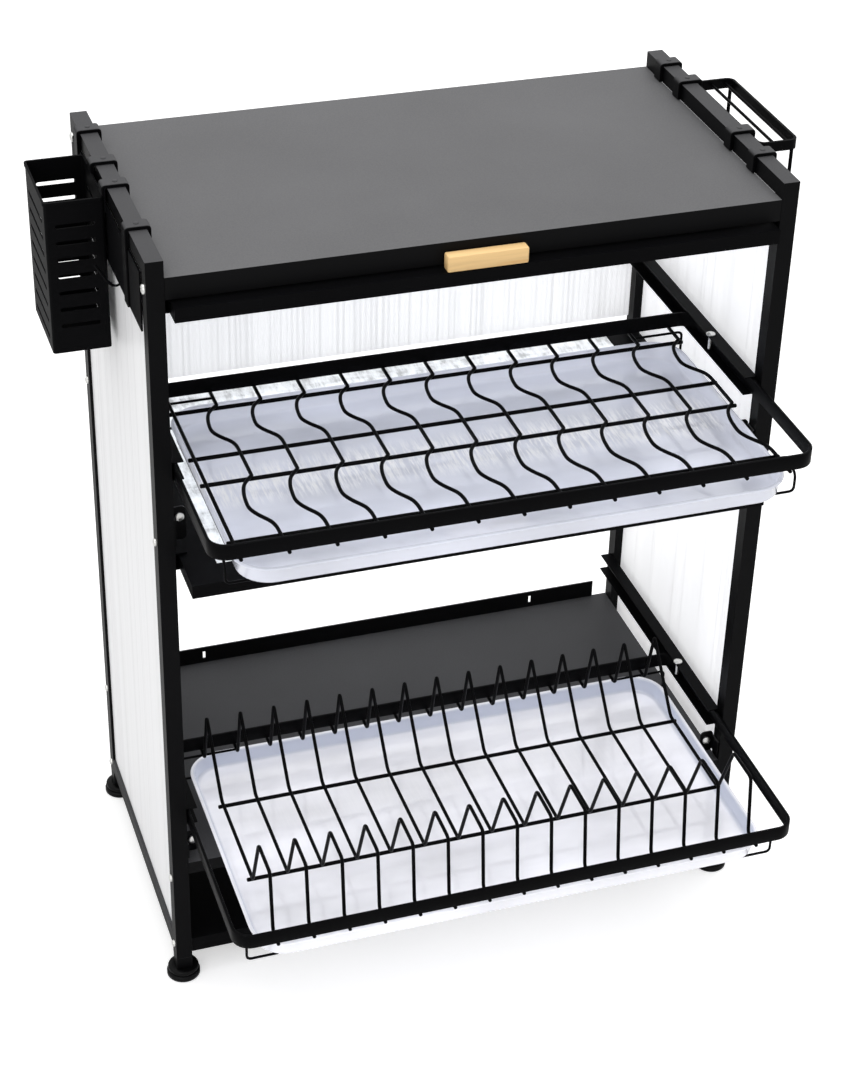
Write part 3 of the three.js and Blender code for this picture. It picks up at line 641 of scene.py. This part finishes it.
class DishRackSizes(bpy.types.PropertyGroup):
    """Sizes of the wires and fittings."""
    wire: length("Wire", 0.0036, "Thickness of the racks' lengthwise wires")
    cross_wire: length("Cross wire", 0.004, "Thickness of the wires across the racks")
    hook_wire: length("Hook wire", 0.0026, "Thickness of the tray hooks")
    bar: length("Bar", 0.003, "Thickness of the racks' flat bars")
    tray_wall: length("Tray wall", 0.0016, "Thickness of the drip trays")
    screw_head: length("Screw head", 0.0074, "Width of the small screw heads")
    edge: length("Edge", 0.0006, "Width of the eased edges of the folded sheets")


class DishRackColours(bpy.types.PropertyGroup):
    """Colours of the finishes."""
    steel: colour("Steel", (0.0028, 0.0028, 0.0032), "Powder coat of frame, racks and sheets")
    # Upward colours of frame, straps, top panel and shelf are painted sheen; racks and doors keep
    # an upward colour as dark as the steel.
    steel_painted_sheen: colour("Upward steel", (0.065, 0.065, 0.068), "Frame and straps, faces up")
    wire_top: colour("Upward wire", (0.0032, 0.0032, 0.0037), "Racks and doors, faces up")
    panel_painted_sheen: colour("Upward panel", (0.127, 0.127, 0.131), "Top sheet, face up")
    shelf_painted_sheen: colour("Upward shelf", (0.068, 0.068, 0.071), "Lower shelf, face up")
    wall: colour("Wall", (0.95, 0.95, 0.96), "Ribbed side and back walls")
    # The upper tray's darker colour is painted shade; the lower tray's paler colour is the lit copy
    # of the same plastic.
    tray: colour("Upper tray", (0.74, 0.76, 0.845), "Upper drip tray")
    lower_tray: colour("Lower tray", (0.85, 0.85, 0.89), "Lower drip tray")
    # The tray walls colour is painted shade on the lower tray's inner walls.
    tray_wall: colour("Tray walls", (0.5, 0.53, 0.63), "Inner walls of the lower drip tray")
    window: colour("Window", (0.93, 0.95, 0.97), "Windows of the doors")
    zinc: colour("Zinc", (0.72, 0.72, 0.7), "Screws")
    pine: colour("Pine", (0.86, 0.58, 0.27), "Door handles")
    foot: colour("Foot", (0.0022, 0.0022, 0.0024), "Feet")


class DishRackStage(bpy.types.PropertyGroup):
    """Floor, lights and camera."""
    floor: length("Floor", 12.0, "Side of the floor")
    world: bpy.props.FloatProperty(
        name="Room light", default=0.75, min=0.0, description="Strength of the even light")
    focal: bpy.props.FloatProperty(
        name="Lens", default=80.06, min=1.0, description="Focal length in mm on a 36 mm high film")
    position: bpy.props.FloatVectorProperty(
        name="Camera", default=(-0.654, -1.7659, 1.7254), subtype="TRANSLATION", unit="LENGTH",
        description="Place of the camera from the cabinet's middle and front")
    rotation: bpy.props.FloatVectorProperty(
        name="Camera turn", default=tuple(math.radians(a) for a in (56.45643, -1.38664, -18.24258)),
        subtype="EULER", unit="ROTATION", description="Turn of the camera")


FILM_HEIGHT = 36.0
FLOOR_PAINT = (0.9, 0.9, 0.9)
FLOOR_GLOW = (0.45, 0.45, 0.45)
# Lamps: place and size in metres, turn in degrees between them, and power in watts
LAMPS = (
    ("overhead softbox", (0.0, 0.3, 2.6), (0, 0, 0), (2.4, 1.8), 26),
    ("rear softbox", (0.9, 2.6, 1.9), (-64, 0, 160), (2.6, 1.6), 30),
    ("front softbox", (-2.0, -2.2, 1.9), (60, 0, -42), (1.6, 1.6), 16),
)


# Operators


class Maker:
    """What all the operators share."""
    bl_options = {"REGISTER", "UNDO"}

    @property
    def sizes(self):
        return bpy.context.scene.dish_rack_sizes


class DISHRACK_OT_stage(Maker, bpy.types.Operator):
    """Floor, soft lights, white room and camera"""
    bl_idname = "dish_rack.stage"
    bl_label = "Stage"

    def execute(self, context):
        settings = context.scene.dish_rack_stage
        self.floor(settings)
        self.room(settings)
        for lamp in LAMPS:
            self.lamp(*lamp)
        self.camera(settings)
        context.scene.view_settings.view_transform = "Standard"
        return {"FINISHED"}

    @staticmethod
    def floor(settings):
        half = settings.floor / 2
        corners = [(-half, -half, 0), (half, -half, 0), (half, half, 0), (-half, half, 0)]
        mesh = bpy.data.meshes.new("floor")
        mesh.from_pydata(corners, [], [range(len(corners))])
        made = bpy.data.objects.new("floor", mesh)
        bpy.context.scene.collection.objects.link(made)
        paint = Finish(
            "pale floor", roughness=0.9, specular_ior_level=0.0, base_color=rgba(FLOOR_PAINT))
        glow = paint.ramp(paint.rays("Camera"), [(0.0, BLACK), (1.0, FLOOR_GLOW)])
        paint.set(emission_color=glow, emission_strength=1.0)
        mesh.materials.append(paint.material)

    @staticmethod
    def room(settings):
        world = bpy.data.worlds.new("white room")
        bpy.context.scene.world = world
        world.use_nodes = True
        room = Nodes(world.node_tree)
        seen = room.rays("Camera").maximum(room.rays("Glossy")).maximum(room.rays("Transmission"))
        strength = seen.ranged(0.0, 1.0, settings.world, 1.0)
        light = room.node("Background", {}, {"Color": rgba(WHITE), "Strength": strength})
        room.node("OutputWorld", {}, {"Surface": light}, None)

    @staticmethod
    def lamp(name, place, turn, size, power):
        light = bpy.data.lights.new(name, "AREA")
        light.shape = "RECTANGLE"
        light.size, light.size_y = size
        light.energy = power
        made = bpy.data.objects.new(name, light)
        made.location = place
        made.rotation_euler = tuple(math.radians(angle) for angle in turn)
        bpy.context.scene.collection.objects.link(made)

    @staticmethod
    def camera(settings):
        data = bpy.data.cameras.new("camera")
        data.sensor_fit = "VERTICAL"
        data.sensor_height = FILM_HEIGHT
        data.lens = settings.focal
        made = bpy.data.objects.new("camera", data)
        made.location = at(0, 0, 0) + Vector(settings.position)
        made.rotation_euler = Euler(settings.rotation)
        bpy.context.scene.collection.objects.link(made)
        bpy.context.scene.camera = made


FRAME_EDGE = 1.2
FOOT_PROFILE = [
    (15.2, 0), (16.2, 0.3), (16.8, 1.1), (16.8, 4.6), (16.3, 5.6), (15.2, 6.1), (14.2, 6.4),
    (13.9, 6.9), (14.3, 7.4), (15.1, 7.8), (15.5, 8.4), (15.5, 10.3), (15, 11.3), (14, 11.8),
    (9, 11.9),
]
POST_END_RINGS = [(0.8, 11.9), (0.2, 12.1), (0, 12.7), (0, 25.8), (0.3, 26.1)]
POST_END_OVERLAP = 0.1
POST_CORNER = 1.6


class DISHRACK_OT_frame(Maker, bpy.types.Operator):
    """Side frames, feet, folded sheets and ribbed walls"""
    bl_idname = "dish_rack.frame"
    bl_label = "Frame and walls"

    def execute(self, context):
        edge = self.sizes.edge / MM
        for side in SIDES:
            finish_node(f"{side}_side_frame", finish("black_steel"), FRAME_EDGE)
            finish_node(f"{side}_wall", finish(f"{side}_sheet"))
            for end in ("front", "rear"):
                self.foot(f"{end}_{side}_foot")
        finish_node("back_wall", finish("back_sheet"))
        finish_node("top_panel", finish("panel_steel"), edge)
        finish_node("lower_shelf", finish("shelf_steel"), edge)
        finish_node("bottom_pan", finish("rack_steel"), edge)
        return {"FINISHED"}

    @staticmethod
    def foot(node):
        """A levelling foot: a flat base, a waist and a collar, and the end of the post over it."""
        low, high = box_mm(node)
        x, y = (low.x + high.x) / 2, (low.y + high.y) / 2
        shape = Shape()
        shape.turned(FOOT_PROFILE, at(x, y, 0), sides=64)
        made = shape.piece(f"{node}_moulding", finish("foot_rubber"), "cabinet", "foot_rubber")
        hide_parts(node)
        half = TUBE / 2 + POST_END_OVERLAP
        end = Shape()
        end.skin([
            round_loop(half, -half, half, POST_CORNER, inset, height)
            for inset, height in POST_END_RINGS])
        end.corners = [corner + Vector((x, y, 0)) * MM for corner in end.corners]
        end.piece(f"{node}_post_end", finish("black_steel"), "cabinet", "black_steel")


FITTING_EDGE = 0.3


class DISHRACK_OT_channels(Maker, bpy.types.Operator):
    """Rack channels, door guides, catches and stop screws"""
    bl_idname = "dish_rack.channels"
    bl_label = "Channels and catches"

    def execute(self, context):
        fittings = {
            "rack_channel": "rack_steel", "door_guide": "rack_steel", "door_catch": "black_steel",
            "stop_screw": "zinc"}
        for level in LEVELS:
            for side in SIDES:
                for fitting, material in fittings.items():
                    finish_node(f"{level}_{side}_{fitting}", finish(material), FITTING_EDGE)
        return {"FINISHED"}


# Racks: heights from the floor, places from the posts' front faces, insets from the rack's front.
# A front hook runs across at the run's inset and comes down at the leg's.
UPPER_RACK = dict(
    top=604.5, front=-129.5, rear=152.5, pitch=42.5, count=13, crosses=(33, 128.5, 173.5, 257),
    run=29, leg=11.5)
LOWER_RACK = dict(
    top=208.5, front=-180.5, rear=119.5, pitch=34.4, count=15, crosses=(98, 210), run=10, leg=19.5)
WIRE_BEND = 5
WIRE_END_INSET = 0.3
CROSS_WIRE_PAST = 4
HOOK_LEG_INSET = 15
HOOK_REAR_INSET = 7
HOOK_ARM = 30
HOOK_STEP = 9
# Where along its run a bowed wire is how far out, in shares of the run and of the bow
BOW = 15.5
BOW_SHARES = (
    (0.12, 0.59), (0.25, 0.87), (0.4, 1.0), (0.54, 1.0), (0.66, 0.72), (0.8, 0.2), (0.9, 0.03))
# Insets of the humps' feet and tops from the front, and of the middle dip from the cross wires
HUMP_RISE = 63.5
FRONT_HUMP = (20, 28, 68)
REAR_HUMP = (270, 285)
DIP_INSET = 4.5


class RackMaker(Maker):
    """Levels and shared parts of both racks."""

    @staticmethod
    def levels(top):
        """Heights of the wires, cross wires, hooks' upper arms and hooks' lower arms."""
        wire = top - RACK_BAR_HEIGHT - WIRE_RADIUS + BAR_GRIP
        cross = wire - WIRE_RADIUS - CROSS_RADIUS + WELD_DEPTH
        hook = wire - WIRE_RADIUS - HOOK_RADIUS + WELD_DEPTH
        arm = top - RACK_BAR_HEIGHT - HOOK_ARM_DROP
        return wire, cross, hook, arm

    @staticmethod
    def places(plan):
        """Where each lengthwise wire stands across the rack."""
        outer = plan["pitch"] * (plan["count"] - 1) / 2
        return [plan["pitch"] * index - outer for index in range(plan["count"])]

    def common(self, shape, plan):
        """Bar loop, cross wires and tray hooks."""
        sizes = self.sizes
        _, cross, hook, arm = self.levels(plan["top"])
        front, rear, top = plan["front"], plan["rear"], plan["top"]
        low = top - RACK_BAR_HEIGHT
        flat_loop(shape, RACK_HALF, front, rear, RACK_CORNER, low, top, sizes.bar / MM)
        outer = self.places(plan)[-1]
        reach = outer + CROSS_WIRE_PAST
        for inset in plan["crosses"]:
            ends = [at(place, front + inset, cross) for place in (-reach, reach)]
            shape.wire(ends, sizes.cross_wire / 2 / MM, sides=12)
        thin = sizes.hook_wire / 2 / MM
        back = rear - HOOK_REAR_INSET
        run = front + plan["run"]
        ahead = front + plan["leg"]
        for side in SIDES.values():
            start = side * (outer - plan["pitch"])
            leg = side * (RACK_HALF - HOOK_LEG_INSET)
            tip = leg - side * HOOK_ARM
            rear_hook = [
                at(start, back, hook), at(leg, back, hook), at(leg, back, arm), at(tip, back, arm)]
            front_hook = [
                at(start, run, hook), at(leg, run, hook), at(leg, ahead, hook - HOOK_STEP),
                at(leg, ahead, arm), at(tip, ahead, arm)]
            for corners in (rear_hook, front_hook):
                shape.wire(softened(corners, WIRE_BEND), thin)

    @staticmethod
    def finished(shape, level):
        rack = f"{level}_rack"
        made = shape.piece(f"{rack}_wires", finish("rack_steel"), rack, "black_steel")
        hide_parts(rack)
        return {"FINISHED"}


class DISHRACK_OT_upper_rack(RackMaker, bpy.types.Operator):
    """Upper rack with its bowed wires"""
    bl_idname = "dish_rack.upper_rack"
    bl_label = "Upper rack"

    def execute(self, context):
        shape = Shape()
        plan = UPPER_RACK
        self.common(shape, plan)
        height = self.levels(plan["top"])[0]
        front, rear = plan["front"], plan["rear"]
        first, second, third, fourth = (front + inset for inset in plan["crosses"])
        for index, x in enumerate(self.places(plan)):
            ends = [at(x, rear - WIRE_END_INSET, height), at(x, front + WIRE_END_INSET, height)]
            path = ends
            if index:
                rear_bow = self.bowed(fourth, third, x, height)
                front_bow = self.bowed(second, first, x, height)
                path = [ends[0], at(x, (rear + fourth) / 2, height), *rear_bow, *front_bow, ends[1]]
            shape.wire(path, self.sizes.wire / 2 / MM)
        return self.finished(shape, "upper")

    @staticmethod
    def bowed(start, end, x, height):
        """A smooth bow to the left between two cross wires."""
        run = end - start
        middle = [at(x - BOW * out, start + run * along, height) for along, out in BOW_SHARES]
        return flowing([at(x, start, height), *middle, at(x, end, height)])


class DISHRACK_OT_lower_rack(RackMaker, bpy.types.Operator):
    """Lower rack whose wires rise into two rows of humps"""
    bl_idname = "dish_rack.lower_rack"
    bl_label = "Lower rack"

    def execute(self, context):
        shape = Shape()
        plan = LOWER_RACK
        self.common(shape, plan)
        low = self.levels(plan["top"])[0]
        high = low + HUMP_RISE
        front, rear = plan["front"], plan["rear"]
        near, far = (front + inset for inset in plan["crosses"])
        foot, rise, crest = (front + inset for inset in FRONT_HUMP)
        rear_crest, rear_foot = (front + inset for inset in REAR_HUMP)
        outline = [
            (front + WIRE_END_INSET, low), (foot, low), (rise, high), (crest, high),
            (near - DIP_INSET, low), (far + DIP_INSET, low), (rear_crest, high), (rear_foot, low),
            (rear - WIRE_END_INSET, low)]
        for x in self.places(plan):
            corners = [at(x, y, z) for y, z in outline]
            shape.wire(softened(corners, WIRE_BEND), self.sizes.wire / 2 / MM)
        return self.finished(shape, "lower")


TRAY_HALF = 258.5
TRAY_CORNER = 34
TRAY_REST = 1.8
# Trays: level, the rack that each hangs under, and the places of its front and rear
TRAYS = (("upper", UPPER_RACK, -137, 149), ("lower", LOWER_RACK, -172.5, 124))


class DISHRACK_OT_trays(Maker, bpy.types.Operator):
    """Two moulded drip trays"""
    bl_idname = "dish_rack.trays"
    bl_label = "Drip trays"

    def execute(self, context):
        for level, rack, front, rear in TRAYS:
            low = RackMaker.levels(rack["top"])[-1] + TRAY_REST
            shape = Shape()
            shape.skin([
                round_loop(TRAY_HALF, front, rear, TRAY_CORNER, inset, low + rise, steps=10)
                for inset, rise in self.profile()])
            body = f"{level}_tray"
            made = shape.piece(f"{level}_drip_tray_shell", finish(body), body, "tray_plastic")
            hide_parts(f"{level}_drip_tray")
        return {"FINISHED"}

    def profile(self):
        """Inset and rise from the middle of the floor's underside, over the rim, to the floor."""
        wall = self.sizes.tray_wall / MM
        outside = [
            (10, 0), (7, 0), (5.4, 0.6), (4.4, 1.6), (4, 2.8), (2.8, 14.9), (2.3, 15.5),
            (0.5, 15.6), (0, 16.1)]
        rim = [(0, 17), (0.5, 17.5), (2.5, 17.5), (3.6, 17.2), (2.8 + wall, 16.2)]
        inside = [
            (4 + wall, 4.4), (4.6 + wall, 2.8), (6.2 + wall, 1.8), (8.5 + wall, wall),
            (11 + wall, wall)]
        return outside + rim + inside


WINDOW_EDGE = 0.2
FILM_SIDE_INSET = 34
FILM_FRONT_INSET = 70
FILM_REAR_INSET = 3
FILM_CORNER = 3
FILM_RINGS = [(0.3, 0.15), (0, 0.25), (0, 0.4), (0.3, 0.5)]
HANDLE_CORNER = 2
HANDLE_RINGS = [(1.6, 0), (0.5, 0.35), (0, 1.4), (0, 13.6), (0.5, 14.65), (1.6, 15)]


class DISHRACK_OT_doors(Maker, bpy.types.Operator):
    """Door frames, windows and wooden handles"""
    bl_idname = "dish_rack.doors"
    bl_label = "Doors"

    def execute(self, context):
        for level in LEVELS:
            door = f"{level}_door"
            finish_node(f"{door}_frame", finish("rack_steel"), self.sizes.edge / MM)
            finish_node(f"{door}_window", finish("clear_sheet"), WINDOW_EDGE)
            low, high = box_mm(f"{door}_frame")
            film = Shape()
            film.skin([
                round_loop(
                    high.x - FILM_SIDE_INSET, low.y + FILM_FRONT_INSET, high.y - FILM_REAR_INSET,
                    FILM_CORNER, inset, high.z + rise)
                for inset, rise in FILM_RINGS])
            film.piece(f"{door}_film", finish("clear_sheet"), door, "clear_sheet")
            low, high = box_mm(f"{door}_handle")
            shape = Shape()
            shape.skin([
                round_loop(high.x, low.y, high.y, HANDLE_CORNER, inset, low.z + rise)
                for inset, rise in HANDLE_RINGS])
            made = shape.piece(f"{door}_handle_block", finish("pine"), door, "pine")
            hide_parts(f"{door}_handle")
        return {"FINISHED"}


# Straps over the rails: body, side, where each starts, place and foot of their outer legs
HANGERS = (
    ("cabinet", "left", (61.5, 269), 303, 738),
    ("cabinet", "right", (58, 278), 303, 738),
    ("utensil_basket", "left", (148.5, 198), 304.8, 804),
    ("board_holder", "right", (109, 232), 304.8, 806),
)
HANGER_EDGE = 0.25
STRAP_MIDDLE = 6.5
STRAP_WIDTH = 14
STRAP_THICKNESS = 1.8
STRAP_BEND = 3.2
STRAP_INNER = 281.2
STRAP_RISE = 2.9
STRAP_DROP = 14.8
RIVET_PLACE = 292
RIVET_PROFILE = [(2.6, -0.3), (2.6, 0.15), (2.2, 0.5), (1.4, 0.7), (0.3, 0.75)]


class DISHRACK_OT_hangers(Maker, bpy.types.Operator):
    """Hanging bands, utensil basket and board holder"""
    bl_idname = "dish_rack.hangers"
    bl_label = "Hang-on parts"

    def execute(self, context):
        for side in SIDES:
            finish_node(f"{side}_hanging_band", finish("deep_steel"), FITTING_EDGE)
        finish_node("utensil_basket", finish("deep_steel"), HANGER_EDGE)
        finish_node("board_holder", finish("rack_steel"), HANGER_EDGE)
        for body, side, places, outer, bottom in HANGERS:
            shape = Shape()
            for place in places:
                self.strap(shape, SIDES[side], place + STRAP_MIDDLE, outer, bottom)
            shape.piece(f"{body}_{side}_straps", finish("black_steel"), body, "black_steel")
        return {"FINISHED"}

    @staticmethod
    def strap(shape, side, y, outer, bottom):
        """The visible strap over a top rail: inner leg, flat top with its rivet, outer leg."""
        level = HEIGHT + STRAP_RISE
        corners = [
            at(side * STRAP_INNER, y, HEIGHT - STRAP_DROP), at(side * STRAP_INNER, y, level),
            at(side * outer, y, level), at(side * outer, y, bottom)]
        shape.strap(softened(corners, STRAP_BEND), STRAP_WIDTH, STRAP_THICKNESS)
        upper_face = level + STRAP_THICKNESS / 2
        shape.turned(RIVET_PROFILE, at(side * RIVET_PLACE, y, upper_face), sides=20)


# Screws in the outer sides of the posts, the top ones wider, and domes on the catches
SCREW_INSET = 8
FRONT_SCREWS = (782, 527, 128, 41)
REAR_SCREWS = (789, 527, 143, 41)
TOP_SCREWS_OVER = 700
TOP_SCREW_SCALE = 1.25
SCREW_SHARES = ((1, -0.3), (1, 0.8), (0.93, 1.6), (0.75, 2.2), (0.62, 2.4), (0.5, 2.3), (0.38, 0.9))
SCREW_RIM_RINGS = 5
DOME_HEIGHTS = (545, 166)
DOME_PLACE = (275.95, 15.4)
DOME_PROFILE = [(4.5, -0.5), (4.5, 0.4), (4.2, 0.9), (3.4, 1.3), (2, 1.6), (0.6, 1.7)]


class DISHRACK_OT_screws(Maker, bpy.types.Operator):
    """Small silver screws in the posts and catches"""
    bl_idname = "dish_rack.screws"
    bl_label = "Screws"

    def execute(self, context):
        shape = Shape()
        for side in SIDES.values():
            for y, heights in ((SCREW_INSET, FRONT_SCREWS), (DEPTH - SCREW_INSET, REAR_SCREWS)):
                for height in heights:
                    self.screw(shape, side, y, height)
            across, out = DOME_PLACE
            for height in DOME_HEIGHTS:
                shape.turned(DOME_PROFILE, at(side * across, out, height), (0, -1, 0))
        shape.piece("frame_screws", finish("zinc"), "cabinet", "zinc")
        return {"FINISHED"}

    def screw(self, shape, side, y, height):
        """A cross-slotted head on the outer side of a post."""
        half = self.sizes.screw_head / 2 / MM
        if height > TOP_SCREWS_OVER:
            half *= TOP_SCREW_SCALE
        profile = [(half * share, rise) for share, rise in SCREW_SHARES]
        shape.turned(profile, at(side * HALF_WIDTH, y, height), (side, 0, 0), lobes=SCREW_RIM_RINGS)


class DISHRACK_PT_panel(bpy.types.Panel):
    """Lists the sizes, colours and pieces"""
    bl_label = "Dish Rack"
    bl_idname = "DISHRACK_PT_panel"
    bl_space_type = "VIEW_3D"
    bl_region_type = "UI"
    bl_category = "Dish Rack"

    def draw(self, context):
        scene = context.scene
        for group in (scene.dish_rack_sizes, scene.dish_rack_colours, scene.dish_rack_stage):
            column = self.layout.box().column()
            for name in group.bl_rna.properties.keys():
                if name not in ("rna_type", "name"):
                    column.prop(group, name)
        for maker in OPERATORS:
            self.layout.operator(maker.bl_idname)


GROUPS = (
    ("dish_rack_sizes", DishRackSizes),
    ("dish_rack_colours", DishRackColours),
    ("dish_rack_stage", DishRackStage),
)
OPERATORS = (
    DISHRACK_OT_stage, DISHRACK_OT_frame, DISHRACK_OT_channels, DISHRACK_OT_upper_rack,
    DISHRACK_OT_lower_rack, DISHRACK_OT_trays, DISHRACK_OT_doors, DISHRACK_OT_hangers,
    DISHRACK_OT_screws,
)


def register():
    for name, group in GROUPS:
        bpy.utils.register_class(group)
        setattr(bpy.types.Scene, name, bpy.props.PointerProperty(type=group))
    for maker in OPERATORS:
        bpy.utils.register_class(maker)
    bpy.utils.register_class(DISHRACK_PT_panel)


def unregister():
    bpy.utils.unregister_class(DISHRACK_PT_panel)
    for maker in reversed(OPERATORS):
        bpy.utils.unregister_class(maker)
    for name, group in reversed(GROUPS):
        delattr(bpy.types.Scene, name)
        bpy.utils.unregister_class(group)


def main():
    register()
    for maker in OPERATORS:
        family, action = maker.bl_idname.split(".")
        getattr(getattr(bpy.ops, family), action)()


if __name__ == "__main__":
    main()
